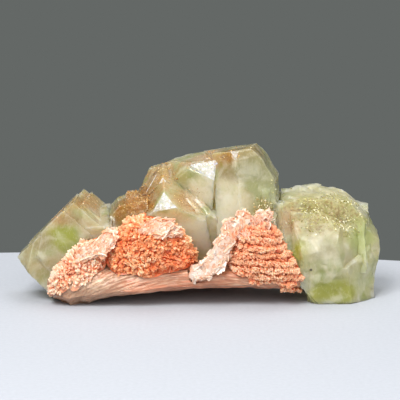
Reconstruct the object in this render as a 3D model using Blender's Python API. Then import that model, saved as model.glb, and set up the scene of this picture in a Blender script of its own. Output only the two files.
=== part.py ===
"""Green apophyllite crystals grown on peach stilbite, as one free-standing mineral specimen.

Run with: blender --background --python part.py
Metres, +Z up. The front faces -Y. The origin is the bottom centre of the whole specimen.
Sizes below are in millimetres. The finished solids are scaled to metres at the very end.
"""

import math

import bmesh
import bpy
import numpy as np
from mathutils import Matrix, Vector, noise

MM = 0.001
GAP = 0.3  # clear space left where two pieces meet
BLOCK = 160.0  # side of the rough block that a crystal is cut from

# Colours: pale green crystal, peach and cream stilbite, pearly blades
GREEN = (0.62, 0.68, 0.38)
PEACH = (0.90, 0.46, 0.28)
CREAM = (0.86, 0.66, 0.52)
PEARL = (0.93, 0.80, 0.74)


def clear_scene():
    """Removes whatever the file opened with."""
    for thing in list(bpy.data.objects):
        bpy.data.objects.remove(thing)


def material(name, colour, roughness, see_through=0.0):
    """A plain finish: its colour, how rough it is, and how much light it lets through."""
    made = bpy.data.materials.new(name)
    made.use_nodes = True
    shader = made.node_tree.nodes["Principled BSDF"]
    shader.inputs["Base Color"].default_value = (*colour, 1.0)
    shader.inputs["Roughness"].default_value = roughness
    shader.inputs["Metallic"].default_value = 0.0
    shader.inputs["Transmission Weight"].default_value = see_through
    made.diffuse_color = (*colour, 1.0)
    return made


def direction(turn, lift):
    """Unit vector of a face: turn degrees round from the front (-Y) to the right, lift degrees up."""
    turn, lift = math.radians(turn), math.radians(lift)
    return Vector(
        (math.sin(turn) * math.cos(lift), -math.cos(turn) * math.cos(lift), math.sin(lift))
    )


# Apophyllite: each crystal is a block bounded by flat faces.
# A crystal is its centre and its faces: (turn, lift, how far it grew from the centre).
DOWN = (0, -90)

LEFT_DIAMOND = (
    (-40.0, -1.4, 13.0),
    [
        (-93, 45, 9.6),  # upper left edge, a thin strip
        (80, 47, 16.2),  # upper right wedge
        (0, -5, 8.0),  # broad front
        (-89, -44, 10.5),
        (90, -44, 10.5),
        (180, 2, 10.0),
        (-56, 8, 12.5),  # chipped tip
        (*DOWN, 11.4),
    ],
)
LEFT_INNER = (
    (-32.6, -0.6, 13.2),
    [
        (-13, -14, 6.7),
        (-30, 74, 11.0),
        (94, 5, 7.7),
        (-78, 10, 7.3),
        (180, 0, 7.1),
        (*DOWN, 5.2),
    ],
)
LEFT_SHOULDER = (
    (-20.6, -1.0, 17.9),
    [
        (-22, 16, 7.5),
        (-75, 72, 11.1),
        (-83, 39, 9.1),
        (85, 5, 7.5),
        (180, 0, 8.5),
        (-85, 0, 5.9),
        (*DOWN, 9.9),
    ],
)
CENTRE_FRONT = (
    (-8.6, 1.3, 23.7),
    [
        (-64, 37, 10.63),  # stained left side
        (-11, 30, 14.4),  # bright triangle
        (1, -27, 10.13),  # pale face under the triangle
        (51, 50, 11.25),  # tan face on its right
        (-83, 73, 15.07),
        (90, 10, 11.36),
        (180, 10, 10.73),
        (-124, 3, 9.32),
        (*DOWN, 15.7),
    ],
)
CENTRE_MIDDLE = (
    (-3.6, 4.3, 26.6),
    [
        (-60, 25, 9.0),
        (-11, 30, 14.2),  # bright triangle
        (-28, -10, 5.2),  # pale front
        (-78, 79, 14.0),  # stained top
        (80, -5, 9.7),
        (180, 6, 8.1),
        (-125, 15, 9.7),
        (*DOWN, 18.6),
    ],
)
CENTRE_RIGHT = (
    (14.8, -0.1, 30.2),
    [
        (-6, 36, 14.67),  # small bright triangle
        (-33, 15, 12.04),  # narrow faces on either side of it
        (19, 26, 11.8),
        (-20, 2, 9.79),
        (22, 6, 7.96),
        (-113, 80, 15.1),
        (85, 33, 10.96),
        (83, 44, 12.16),
        (84, 1, 9.17),
        (-80, -2, 10.52),
        (180, 6, 12.04),
        (*DOWN, 22.2),
    ],
)
CENTRE_LOW = (
    (17.8, -1.5, 15.4),
    [
        (14, 14, 10.4),
        (-25, 56, 10.5),
        (86, -1, 5.8),
        (-60, 0, 5.2),
        (180, 6, 11.1),
        (*DOWN, 7.4),
    ],
)
CENTRE_BACK = (
    (-14.0, 7.0, 19.0),
    [
        (176, 14, 8.2),
        (-122, 34, 9.6),
        (132, 40, 10.4),
        (-92, 6, 8.4),
        (92, -2, 9.0),
        (-160, 66, 10.6),
        (20, 40, 11.0),
        (0, 0, 8.0),
        (*DOWN, 11.0),
    ],
)
CENTRE_CORNER = (
    (-10.8, -1.7, 34.6),
    [
        (-64, 37, 1.9),
        (-11, 30, 3.1),  # tiny bright triangle
        (8, -25, 2.6),
        (51, 50, 3.0),
        (95, 0, 2.7),
        (180, 0, 3.7),
        (0, -80, 3.4),
    ],
)
RIGHT_BACK = (
    (35.2, 4.1, 21.6),
    [
        (4, 12, 9.7),
        (-54, 76, 9.4),
        (45, 78, 10.1),
        (80, 45, 13.2),
        (82, 1, 16.5),
        (-75, 70, 10.5),
        (-81, 45, 12.4),
        (-98, 0, 13.0),
        (180, 4, 9.1),
        (150, 40, 12.0),
        (*DOWN, 13.4),
    ],
)
RIGHT_FRONT = (
    (40.8, -0.9, 15.2),
    [
        (-8, 24, 12.3),  # glittery upper front
        (2, -6, 12.1),  # milky lower front
        (46, 8, 9.1),
        (66, 62, 9.5),
        (82, 34, 12.4),
        (85, 5, 13.9),
        (84, -12, 13.9),
        (-52, 4, 15.2),
        (-95, -37, 13.2),
        (180, 4, 12.6),
        (-20, 76, 13.7),
        (-84, 0, 13.7),
        (*DOWN, 15.2),  # stands on the table
    ],
)
RIGHT_FOOT = (
    (42.2, -3.2, 4.6),
    [
        (2, -3, 9.1),
        (48, 4, 8.3),
        (87, 4, 11.0),
        (20, 50, 10.6),
        (-50, -34, 11.4),
        (-90, 0, 9.4),
        (180, 4, 15.6),
        (*DOWN, 4.6),  # stands on the table
    ],
)

# Terraces: (crystal, face number, how far along right and up from the centre, how much
# smaller than the crystal, how far it stands out), all in millimetres
LEFT_TERRACES = [
    (LEFT_DIAMOND, 2, -3.0, 4.0, 4.6, 0.5),
    (LEFT_DIAMOND, 0, 2.0, 2.0, 3.2, 0.5),
    (LEFT_DIAMOND, 5, -2.0, 3.0, 3.0, 0.8),
    (LEFT_INNER, 0, 1.8, 3.6, 2.6, 0.5),
    (LEFT_INNER, 4, -1.0, -2.0, 2.4, 1.0),
]
CENTRE_TERRACES = [
    (CENTRE_FRONT, 3, 3.2, -3.6, 2.4, 0.5),
    (CENTRE_FRONT, 3, 5.0, -5.6, 2.6, 1.1),
    (CENTRE_FRONT, 0, -2.0, 6.5, 5.2, 0.6),
    (CENTRE_FRONT, 6, 2.0, 2.0, 3.4, 1.3),
    (CENTRE_MIDDLE, 3, 1.5, 0.0, 3.6, 0.4),
    (CENTRE_MIDDLE, 5, 1.0, 3.0, 3.0, 1.4),
    (CENTRE_RIGHT, 4, 2.5, 0.0, 3.4, 0.4),
    (CENTRE_RIGHT, 8, 0.0, 1.0, 3.4, 0.5),
    (CENTRE_RIGHT, 10, -2.0, 2.0, 3.0, 1.2),
]
RIGHT_TERRACES = [
    (RIGHT_BACK, 0, -6.0, 4.0, 3.6, 0.6),
    (RIGHT_BACK, 8, -3.0, 1.0, 3.6, 1.0),
    (RIGHT_FRONT, 0, 2.0, 3.0, 5.0, 0.5),
    (RIGHT_FRONT, 9, 3.0, 2.0, 4.0, 1.0),
]

CRUST_CUTS = 13  # how finely a crust's surface is divided

# Stilbite crusts: (centre, depth to the front, depth to the back, lump size, row height,
# outline seen from the front as (right, up) from the centre)
LEFT_CRUST = (
    (-34.9, -9.5, 9.9),
    (8.0, 7.0, 3.0, 0.0),
    [
        (9.9, 9.1),
        (7.9, 10.9),
        (3.7, 9.1),
        (-1.1, 6.6),
        (-5.3, 2.7),
        (-8.9, -3.4),
        (-9.8, -6.4),
        (-7.5, -8.5),
        (-3.6, -8.6),
        (1.0, -7.0),
        (5.3, -4.0),
        (7.5, -0.6),
        (8.7, 4.5),
    ],
)
CENTRE_CRUST = (
    (-14.1, -9.5, 15.9),
    (9.6, 8.0, 3.6, 0.0),
    [
        (13.7, -2.1),
        (11.6, 2.8),
        (8.3, 7.0),
        (4.2, 9.4),
        (0.1, 10.9),
        (-3.7, 10.6),
        (-7.6, 8.2),
        (-10.6, 4.6),
        (-12.7, 0.6),
        (-13.3, -3.6),
        (-11.6, -7.5),
        (-6.5, -9.1),
        (-1.2, -10.3),
        (3.0, -9.7),
        (7.7, -7.8),
        (12.8, -5.1),
    ],
)
RIGHT_CRUST = (
    (19.1, -9.5, 13.5),
    (8.0, 7.0, 3.0, 2.2),
    [
        (12.8, -3.6),
        (8.9, 0.6),
        (5.3, 5.5),
        (1.4, 11.2),
        (-1.2, 12.7),
        (-4.5, 11.8),
        (-7.4, 9.7),
        (-8.6, 5.5),
        (-10.1, 0.0),
        (-11.8, -4.2),
        (-8.3, -7.0),
        (-3.5, -8.2),
        (4.2, -8.2),
        (10.2, -10.9),
        (11.7, -8.5),
        (13.7, -6.0),
    ],
)
BACK_CRUST = (
    (-3.0, 11.0, 11.0),
    (7.0, 7.6, 3.6, 2.6),
    [
        (21.0, -3.0),
        (15.0, 4.4),
        (7.0, 8.0),
        (-4.0, 6.6),
        (-13.0, 8.4),
        (-20.0, 2.0),
        (-21.0, -5.0),
        (-12.0, -9.0),
        (0.0, -7.6),
        (12.0, -8.6),
        (19.0, -7.6),
    ],
)

# Pearly fans of blades: (centre, length, width, thickness, lean from upright, turn, lift,
# how many blades, lean between them, step between them)
LEFT_BLADES = [
    ((-31.0, -15.2, 17.2), 9.0, 4.6, 1.5, 56.0, -14.0, 34.0, 3, 13.0, (1.9, -0.3, 0.9)),
    ((-27.2, -13.4, 18.8), 7.0, 4.0, 1.5, 38.0, 8.0, 26.0, 2, 22.0, (1.4, -0.2, 1.2)),
]
TOP_BLADES = [
    ((-13.6, -16.0, 24.2), 7.0, 4.2, 1.5, 60.0, -10.0, 42.0, 3, 15.0, (1.9, -0.5, -0.1)),
    ((-8.4, -15.8, 23.9), 6.4, 3.6, 1.5, -44.0, 16.0, 36.0, 2, 16.0, (1.3, 0.5, -1.0)),
]
CENTRE_BLADES = [
    ((1.0, -16.0, 10.6), 7.4, 4.6, 2.0, 74.0, -12.0, 22.0, 3, 12.0, (1.7, -0.2, 1.0)),
    ((5.0, -15.2, 14.0), 9.6, 4.4, 2.4, 50.0, 10.0, 12.0, 3, 13.0, (1.2, 0.1, 1.9)),
    ((8.4, -14.0, 18.2), 9.0, 4.2, 2.2, 30.0, -10.0, 14.0, 3, 14.0, (0.7, 0.4, 1.8)),
    ((11.2, -12.6, 22.6), 8.0, 3.4, 2.0, 44.0, 14.0, 20.0, 3, 20.0, (1.2, 0.2, 0.9)),
]
RIGHT_BLADES = [
    ((17.6, -11.8, 25.0), 6.6, 2.6, 1.4, 34.0, -6.0, 26.0, 3, 17.0, (1.3, 0.2, -0.1)),
    ((24.2, -13.4, 20.2), 8.0, 2.6, 1.4, -22.0, 26.0, 16.0, 2, 13.0, (1.6, 0.4, -2.2)),
]

# Matrix: the cream slab of stilbite roots that everything grew from.
# Stations along X: (x, front, back, bottom, top). The left foot touches the table.
MATRIX = [
    (-46.6, -6.0, 3.0, 3.2, 6.6),
    (-43.0, -12.5, 9.0, 1.2, 9.4),
    (-38.0, -16.6, 11.5, 0.0, 10.6),
    (-33.0, -17.2, 12.5, 0.4, 11.6),
    (-26.0, -17.4, 13.0, 1.6, 12.4),
    (-16.0, -17.6, 13.6, 2.8, 12.6),
    (-6.0, -17.0, 14.0, 3.8, 12.6),
    (4.0, -16.4, 14.0, 4.4, 12.4),
    (14.0, -15.8, 13.6, 4.4, 12.0),
    (24.0, -15.2, 12.6, 4.0, 11.0),
    (30.5, -13.6, 10.6, 3.8, 9.6),
    (33.6, -9.0, 5.0, 4.6, 7.6),
]
MATRIX_AROUND = 22  # points round each station
MATRIX_SQUARENESS = 0.62  # 1 is an ellipse, less is boxier
MATRIX_ROUGH = 0.7
MATRIX_STATIONS = 22
FIBRE_RIDGE = 7.0  # from one broad ridge to the next
FOOT = 0.9  # what would end lower than this is flattened onto the table


def bmesh_object(name, shape):
    """Links the finished bmesh as an object, in triangles."""
    bmesh.ops.triangulate(shape, faces=shape.faces)
    mesh = bpy.data.meshes.new(name)
    shape.to_mesh(mesh)
    shape.free()
    made = bpy.data.objects.new(name, mesh)
    bpy.context.scene.collection.objects.link(made)
    return made


def crystal_shape(crystal, grow=0.0, shift=(0.0, 0.0, 0.0)):
    """A block cut back to each face of the crystal, every face moved outwards by grow."""
    centre, faces = crystal
    middle = Vector(centre) + Vector(shift)
    shape = bmesh.new()
    bmesh.ops.create_cube(shape, size=BLOCK)
    bmesh.ops.translate(shape, verts=shape.verts, vec=middle)
    for turn, lift, reach in faces:
        outward = direction(turn, lift)
        cut = bmesh.ops.bisect_plane(
            shape,
            geom=shape.verts[:] + shape.edges[:] + shape.faces[:],
            plane_co=middle + outward * (reach + grow),
            plane_no=outward,
            clear_outer=True,
            dist=1e-5,
        )
        rim = [e for e in cut["geom_cut"] if isinstance(e, bmesh.types.BMEdge)]
        bmesh.ops.contextual_create(shape, geom=rim)
    bmesh.ops.recalc_face_normals(shape, faces=shape.faces)
    return shape


def terrace(crystal, face, right, up, smaller, stands_out):
    """The crystal again, parallel to itself, smaller and moved, with one face standing out."""
    centre, faces = crystal
    outward = direction(*faces[face][:2])
    across = Vector((0, 0, 1)).cross(outward)
    across = across.normalized() if across.length > 0.2 else Vector((1, 0, 0))
    climb = outward.cross(across)
    shift = across * right + climb * up
    shrunk = [(t, l, max(r - smaller, 0.4)) for t, l, r in faces]
    reach = faces[face][2] + stands_out
    shrunk[face] = (faces[face][0], faces[face][1], reach)
    shrunk[-1] = (*DOWN, faces[-1][2] + shift.z - smaller)
    return (tuple(Vector(centre) + shift), shrunk)


def ripple(point, size):
    """Smooth noise from about -1 to 1 whose bumps are about size millimetres across."""
    place = Vector(point) / size
    return noise.noise(place) + 0.5 * noise.noise(place * 2.1 + Vector((7.3, 1.9, 4.4)))


def crust_shape(crust, grow=0.0):
    """A lumpy cushion: its front outline swelled forwards and backwards, then roughened."""
    centre, (front, back, bump, row), outline = crust
    points = [(math.atan2(z, x) % (2 * math.pi), math.hypot(x, z)) for x, z in outline]
    points.sort()
    angles = [a for a, _ in points]
    reaches = [r for _, r in points]
    shape = bmesh.new()
    bmesh.ops.create_cube(shape, size=2.0)
    bmesh.ops.subdivide_edges(shape, edges=shape.edges, cuts=CRUST_CUTS, use_grid_fill=True)
    for vert in shape.verts:
        vert.co.normalize()
        depth, side = vert.co.z, math.hypot(vert.co.x, vert.co.y)
        angle = math.atan2(vert.co.y, vert.co.x) % (2 * math.pi)
        reach = np.interp(angle, angles, reaches, period=2 * math.pi)
        reach *= side ** 0.8
        away = Vector((vert.co.x, -depth, vert.co.y))
        out = Vector((reach * math.cos(angle), 0, reach * math.sin(angle)))
        out.y = -depth * (front if depth > 0 else back)
        place = out + Vector(centre)
        swell = 0.8 * ripple(place, bump * 2.2) + 0.8 * ripple(place, bump)
        if row:
            phase = (place.z + 0.1 * place.x) / row + 0.35 * ripple(place, bump * 2)
            swell += 0.9 * (0.5 - phase % 1.0)
        vert.co = place + away * (swell + grow)
    bmesh.ops.recalc_face_normals(shape, faces=shape.faces)
    return shape


def fan(blades):
    """Each blade of a fan as its own row: every next one leans more and stands a step on."""
    centre, length, width, thick, lean, turn, lift, count, spread, step = blades
    rows = []
    for k in range(count):
        near = (k * 0.618) % 1.0 - 0.5
        place = Vector(centre) + Vector(step) * k + Vector((0, 0.7 * near, 0))
        size = 1.0 - 0.18 * near
        row = (place, length * size, width * size, thick, lean - spread * k, turn + 9 * near, lift)
        rows.append(row)
    return rows


def blade_shape(blade, grow=0.0):
    """A flat six-sided plate with pointed ends, as a stilbite blade has."""
    centre, length, width, thick, lean, turn, lift = blade
    half, side, deep = length / 2 + grow, width / 2 + grow, thick / 2 + grow
    shoulder = half - side * 0.55
    outline = [
        (0.0, half),
        (side, shoulder),
        (side, -shoulder),
        (0.0, -half),
        (-side, -shoulder),
        (-side, shoulder),
    ]
    outward = direction(turn, lift)
    across = Vector((0, 0, 1)).cross(outward).normalized()
    climb = outward.cross(across)
    lean = math.radians(lean)
    along = climb * math.cos(lean) + across * math.sin(lean)
    beside = across * math.cos(lean) - climb * math.sin(lean)
    shape = bmesh.new()
    rims = []
    for depth, shrink in ((-deep, 1.0), (deep * 0.55, 1.0), (deep, 0.78)):
        rim = []
        for x, y in outline:
            place = Vector(centre) + outward * depth
            place += beside * (x * shrink) + along * (y * shrink)
            rim.append(shape.verts.new(place))
        rims.append(rim)
    shape.faces.new(rims[0])
    shape.faces.new(rims[-1])
    for low, high in zip(rims, rims[1:]):
        for i in range(len(low)):
            j = (i + 1) % len(low)
            shape.faces.new((low[i], low[j], high[j], high[i]))
    bmesh.ops.recalc_face_normals(shape, faces=shape.faces)
    return shape


def matrix_stations():
    """The slab's stations spread evenly into more of them, each worked out between two."""
    rows = np.array(MATRIX)
    at = np.linspace(0, len(rows) - 1, MATRIX_STATIONS)
    columns = [np.interp(at, range(len(rows)), rows[:, k]) for k in range(rows.shape[1])]
    return zip(*columns)


def matrix_shape(grow=0.0):
    """The slab as rings of points from station to station, closed with a fan at each end."""
    shape = bmesh.new()
    rings = []
    for x, front, back, bottom, top in matrix_stations():
        ring = []
        for step in range(MATRIX_AROUND):
            angle = 2 * math.pi * step / MATRIX_AROUND
            c, s = math.cos(angle), math.sin(angle)
            c = math.copysign(abs(c) ** MATRIX_SQUARENESS, c)
            s = math.copysign(abs(s) ** MATRIX_SQUARENESS, s)
            y = (front + back) / 2 + c * ((back - front) / 2 + grow)
            z = (bottom + top) / 2 + s * ((top - bottom) / 2 + grow)
            fibre = math.sin((x * 0.8 + y * 0.6) * 2 * math.pi / FIBRE_RIDGE)
            rough = MATRIX_ROUGH * ripple((x, y, z), 6.0) + 0.22 * fibre
            place = Vector((x, y + c * rough, z + s * rough))
            if place.z < FOOT - grow:
                place.z = -grow  # flat where the foot meets the table
            ring.append(shape.verts.new(place))
        rings.append(ring)
    for low, high in zip(rings, rings[1:]):
        for i in range(MATRIX_AROUND):
            j = (i + 1) % MATRIX_AROUND
            shape.faces.new((low[i], low[j], high[j], high[i]))
    for ring, outward in ((rings[0], -1), (rings[-1], 1)):
        middle = sum((v.co for v in ring), Vector()) / MATRIX_AROUND
        middle.x += outward * (1.2 + grow)
        tip = shape.verts.new(middle)
        for i in range(MATRIX_AROUND):
            shape.faces.new((ring[i], ring[(i + 1) % MATRIX_AROUND], tip))
    bmesh.ops.recalc_face_normals(shape, faces=shape.faces)
    return shape


def combine(base, others, operation):
    """Joins the other shapes to the base, or takes them away from it, in one exact step."""
    group = bpy.data.collections.new("tools")
    bpy.context.scene.collection.children.link(group)
    for other in others:
        group.objects.link(other)
    step = base.modifiers.new("step", "BOOLEAN")
    step.operation = operation
    step.solver = "EXACT"
    step.operand_type = "COLLECTION"
    step.collection = group
    bpy.context.view_layer.update()
    sight = bpy.context.evaluated_depsgraph_get()
    base.data = bpy.data.meshes.new_from_object(base.evaluated_get(sight))
    base.modifiers.clear()
    for other in others:
        bpy.data.objects.remove(other)
    bpy.data.collections.remove(group)
    return base


def tidy(thing):
    """Welds points that coincide, merges faces in one plane, and keeps the largest body."""
    shape = bmesh.new()
    shape.from_mesh(thing.data)
    bmesh.ops.remove_doubles(shape, verts=shape.verts, dist=0.02)
    bmesh.ops.dissolve_degenerate(shape, edges=shape.edges, dist=0.02)
    bmesh.ops.dissolve_limit(
        shape, verts=shape.verts, edges=shape.edges, angle_limit=math.radians(0.2)
    )
    left = set(shape.faces)
    bodies = []
    while left:
        body, edge = set(), [left.pop()]
        while edge:
            face = edge.pop()
            body.add(face)
            for side in face.edges:
                for near in side.link_faces:
                    if near in left:
                        left.discard(near)
                        edge.append(near)
        bodies.append(body)
    bodies.sort(key=lambda b: sum(f.calc_area() for f in b))
    for body in bodies[:-1]:
        bmesh.ops.delete(shape, geom=list(body), context="FACES")
    bmesh.ops.triangulate(shape, faces=shape.faces)
    shape.to_mesh(thing.data)
    shape.free()
    return thing


def crystal_group(name, crystals, terraces):
    """Crystals grown together, joined in one solid with the terraces on their faces."""
    every = crystals + [terrace(*t) for t in terraces]
    shapes = [bmesh_object(f"{name}_{i}", crystal_shape(c)) for i, c in enumerate(every)]
    made = combine(shapes[0], shapes[1:], "UNION")
    made.name = name
    return made, every


def cutter(shapes):
    """One solid made of all the shapes, to cut away from what surrounds them."""
    made = [bmesh_object("cutter", shape) for shape in shapes]
    return combine(made[0], made[1:], "UNION") if len(made) > 1 else made[0]


def carve(base, tools):
    """Takes the tools away from the base and keeps the tools for the next piece."""
    copies = []
    for tool in tools:
        copy = bpy.data.objects.new("cutter_copy", tool.data)
        bpy.context.scene.collection.objects.link(copy)
        copies.append(copy)
    return combine(base, copies, "DIFFERENCE")


def finish(thing, look):
    """Tidies the solid and gives it its material."""
    tidy(thing)
    thing.data.materials.clear()
    thing.data.materials.append(look)
    return thing


def main():
    clear_scene()
    green = material("apophyllite", GREEN, 0.2, 0.5)
    peach = material("stilbite_peach", PEACH, 0.55)
    cream = material("stilbite_cream", CREAM, 0.5)
    pearl = material("stilbite_pearl", PEARL, 0.3)

    centre_crystals = [
        CENTRE_FRONT,
        CENTRE_MIDDLE,
        CENTRE_RIGHT,
        CENTRE_LOW,
        CENTRE_BACK,
        CENTRE_CORNER,
        LEFT_SHOULDER,
    ]
    centre, centre_all = crystal_group(
        "apophyllite_centre_crystals", centre_crystals, CENTRE_TERRACES
    )
    left, left_all = crystal_group(
        "apophyllite_left_crystals", [LEFT_DIAMOND, LEFT_INNER], LEFT_TERRACES
    )
    right, right_all = crystal_group(
        "apophyllite_right_crystal", [RIGHT_BACK, RIGHT_FRONT, RIGHT_FOOT], RIGHT_TERRACES
    )
    around_centre = cutter([crystal_shape(c, GAP) for c in centre_all])
    carve(left, [around_centre])
    carve(right, [around_centre])
    solids = [(left, green), (centre, green), (right, green)]
    cutters = [
        around_centre,
        cutter([crystal_shape(c, GAP) for c in left_all]),
        cutter([crystal_shape(c, GAP) for c in right_all]),
    ]

    blades = {
        "stilbite_blades_left": LEFT_BLADES,
        "stilbite_blades_top": TOP_BLADES,
        "stilbite_blades_centre": CENTRE_BLADES,
        "stilbite_blades_right": RIGHT_BLADES,
    }
    for name, fans in blades.items():
        made = cutter([blade_shape(b) for row in fans for b in fan(row)])
        made.name = name
        solids.append((carve(made, cutters), pearl))
        cutters.append(cutter([blade_shape(b, GAP) for row in fans for b in fan(row)]))

    matrix = carve(bmesh_object("stilbite_matrix", matrix_shape()), cutters)
    solids.append((matrix, cream))
    cutters.append(cutter([matrix_shape(GAP)]))

    crusts = {
        "stilbite_crust_left": LEFT_CRUST,
        "stilbite_crust_centre": CENTRE_CRUST,
        "stilbite_crust_right": RIGHT_CRUST,
        "stilbite_crust_back": BACK_CRUST,
    }
    for name, crust in crusts.items():
        solids.append((carve(bmesh_object(name, crust_shape(crust)), cutters), peach))
        cutters.append(cutter([crust_shape(crust, grow=GAP)]))
    for tool in cutters:
        bpy.data.objects.remove(tool)

    for thing, look in solids:
        finish(thing, look)
    corners = np.array([v.co for thing, _ in solids for v in thing.data.vertices])
    low, high = corners.min(0), corners.max(0)
    origin = Vector(((low[0] + high[0]) / 2, (low[1] + high[1]) / 2, low[2]))
    for thing, _ in solids:
        thing.data.transform(Matrix.Scale(MM, 4) @ Matrix.Translation(-origin))
        print(thing.name, len(thing.data.polygons), "triangles")
    print("origin moved by", [round(v, 3) for v in origin])
    print("size", [round(float(v), 2) for v in high - low])


main()
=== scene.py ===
# %% [markdown]
# # Green apophyllite on peach stilbite
#
# A mineral specimen, taken to be 110 mm wide. Pale green blocky crystals fan out from a low
# crust of peach stilbite, and stand on its cream, silky underside. The solids give every crystal
# its flat faces. This file gives them their surfaces: etched growth steps, brown staining,
# sparkling grit, thousands of small stilbite blades, and the stone's colours.
#
# The first step loads the solids, because everything else is grown on them.

# %% Load the solids
import math

import bmesh
import bpy
import numpy as np
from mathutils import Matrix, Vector


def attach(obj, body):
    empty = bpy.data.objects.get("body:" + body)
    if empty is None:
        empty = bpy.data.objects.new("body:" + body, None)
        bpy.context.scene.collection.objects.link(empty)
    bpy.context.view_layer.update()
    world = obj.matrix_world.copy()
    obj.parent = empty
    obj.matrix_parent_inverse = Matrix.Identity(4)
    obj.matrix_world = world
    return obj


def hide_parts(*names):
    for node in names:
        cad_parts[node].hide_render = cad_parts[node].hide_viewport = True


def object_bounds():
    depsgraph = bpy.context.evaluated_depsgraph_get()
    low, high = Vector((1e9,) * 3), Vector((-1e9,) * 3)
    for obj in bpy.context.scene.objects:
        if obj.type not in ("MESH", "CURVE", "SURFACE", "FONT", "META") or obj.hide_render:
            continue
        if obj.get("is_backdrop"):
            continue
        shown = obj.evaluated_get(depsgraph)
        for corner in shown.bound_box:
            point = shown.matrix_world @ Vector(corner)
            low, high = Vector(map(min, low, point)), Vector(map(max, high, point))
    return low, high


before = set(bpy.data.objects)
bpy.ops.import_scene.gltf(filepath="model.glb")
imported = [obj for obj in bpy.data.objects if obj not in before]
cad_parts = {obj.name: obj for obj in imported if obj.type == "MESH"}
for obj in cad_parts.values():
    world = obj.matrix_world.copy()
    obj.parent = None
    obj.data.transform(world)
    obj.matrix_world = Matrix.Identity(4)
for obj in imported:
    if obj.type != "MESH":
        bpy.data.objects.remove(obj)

MM = 0.001  # sizes below are in millimetres, the scene is in metres
CAD_BOX = [np.array(corner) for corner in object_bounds()]
print("solids:", len(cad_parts), "size mm:", ((CAD_BOX[1] - CAD_BOX[0]) / MM).round(1))

# %% [markdown]
# ## Randomness that repeats
#
# Natural surfaces need noise, and a lesson needs the same noise on every run. Blender has noise
# for one point at a time. Here it is worked out for whole arrays of points at once, from a
# random number for each corner of a lattice. Lumps come from the same numbers: each lattice cell
# holds one seed, and a point belongs to the nearest seed.


# %% Noise and lumps
def lattice(cell, seed):
    """A fixed random number from 0 to 1 for each whole-number place: its three numbers are
    multiplied by large odd numbers, mixed, and wrapped to 32 bits."""
    c = cell.astype(np.int64)
    n = c[..., 0] * 73856093 ^ c[..., 1] * 19349663 ^ c[..., 2] * 83492791 ^ seed * 26544357
    n = (n ^ (n >> 13)) * 1274126177 & 0xFFFFFFFF
    n = (n ^ (n >> 15)) * 668265263 & 0xFFFFFFFF
    return ((n ^ (n >> 16)) & 0xFFFFFF) / 0xFFFFFF


def noise(points, size, seed=0):
    """Smooth noise from -1 to 1: the corner numbers of the lattice cell round each point,
    blended across the cell by 3t^2 - 2t^3."""
    p = points / size
    base = np.floor(p)
    t = p - base
    t = t * t * (3 - 2 * t)
    total = 0
    for corner in np.ndindex(2, 2, 2):
        weight = np.prod(np.where(corner, t, 1 - t), axis=-1)
        total = total + weight * lattice(base + np.array(corner), seed)
    return total * 2 - 1


def lumps(points, size, seed=0):
    """Splits space into lumps of about the given size. Returns each point's seed, how far the
    lump's border is (distance to the second seed minus distance to the first), and a random
    number per lump."""
    p = points / size
    base = np.floor(p)
    best, second = np.full(len(p), 9.0), np.full(len(p), 9.0)
    centre, number = np.zeros_like(p), np.zeros(len(p))
    for step in np.ndindex(3, 3, 3):
        cell = base + np.array(step) - 1
        jitter = np.stack([lattice(cell, seed + k) for k in (1, 2, 3)], -1)
        place = cell + 0.12 + 0.76 * jitter
        far = np.linalg.norm(p - place, axis=1)
        closer = far < best
        second = np.where(closer, best, np.minimum(second, far))
        centre[closer] = place[closer]
        number = np.where(closer, lattice(cell, seed + 4), number)
        best = np.where(closer, far, best)
    return centre * size, (second - best) * size, number


sample = np.random.default_rng(1).random((2000, 3)) * 40
print("noise spans", noise(sample, 3.0).min().round(2), "to", noise(sample, 3.0).max().round(2))

# %% [markdown]
# ## A finer copy of a solid
#
# A solid's flat face is only a few triangles, which can't carry any relief. The loose triangles
# are merged, flat faces are joined again, and then every edge that is too long is halved, six
# times over, which leaves hardly any too long. Edges between faces at an angle are marked
# sharp, so that a crystal keeps its facets.


# %% Refine a solid
HALVINGS = 6  # a few edges that lie along one another would be halved for ever


def refined(node, longest, sharp_angle=24.0):
    """A bmesh of the node, its edges halved down to about the given length in millimetres."""
    shape = bmesh.new()
    shape.from_mesh(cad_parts[node].data)
    bmesh.ops.remove_doubles(shape, verts=shape.verts, dist=1e-6)
    bmesh.ops.dissolve_limit(
        shape, verts=shape.verts, edges=shape.edges, angle_limit=math.radians(0.3)
    )
    bmesh.ops.triangulate(shape, faces=shape.faces)
    for _ in range(HALVINGS):
        long = [e for e in shape.edges if e.calc_length() > longest * MM]
        bmesh.ops.subdivide_edges(shape, edges=long, cuts=1)
        bmesh.ops.triangulate(shape, faces=[f for f in shape.faces if len(f.verts) > 3])
    flat = [e for e in shape.edges if e.is_manifold and e.calc_face_angle() < 0.02]
    bmesh.ops.beautify_fill(shape, faces=shape.faces, edges=flat, method="ANGLE")
    for edge in shape.edges:
        edge.smooth = not (edge.is_manifold and edge.calc_face_angle() > math.radians(sharp_angle))
    shape.normal_update()
    return shape


def arrays(shape):
    """Positions in millimetres, normals, and which points lie on a sharp edge."""
    places = np.array([v.co for v in shape.verts]) / MM
    normals = np.array([v.normal for v in shape.verts])
    edge = np.array([any(not e.smooth for e in v.link_edges) for v in shape.verts])
    return places, normals, edge


def unit(vectors):
    return vectors / np.maximum(np.linalg.norm(vectors, axis=-1, keepdims=True), 1e-9)


def inside_box(places):
    """Positions kept inside the solids' own box, so that the part keeps its size."""
    return np.clip(places, CAD_BOX[0] / MM, CAD_BOX[1] / MM)


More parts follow.
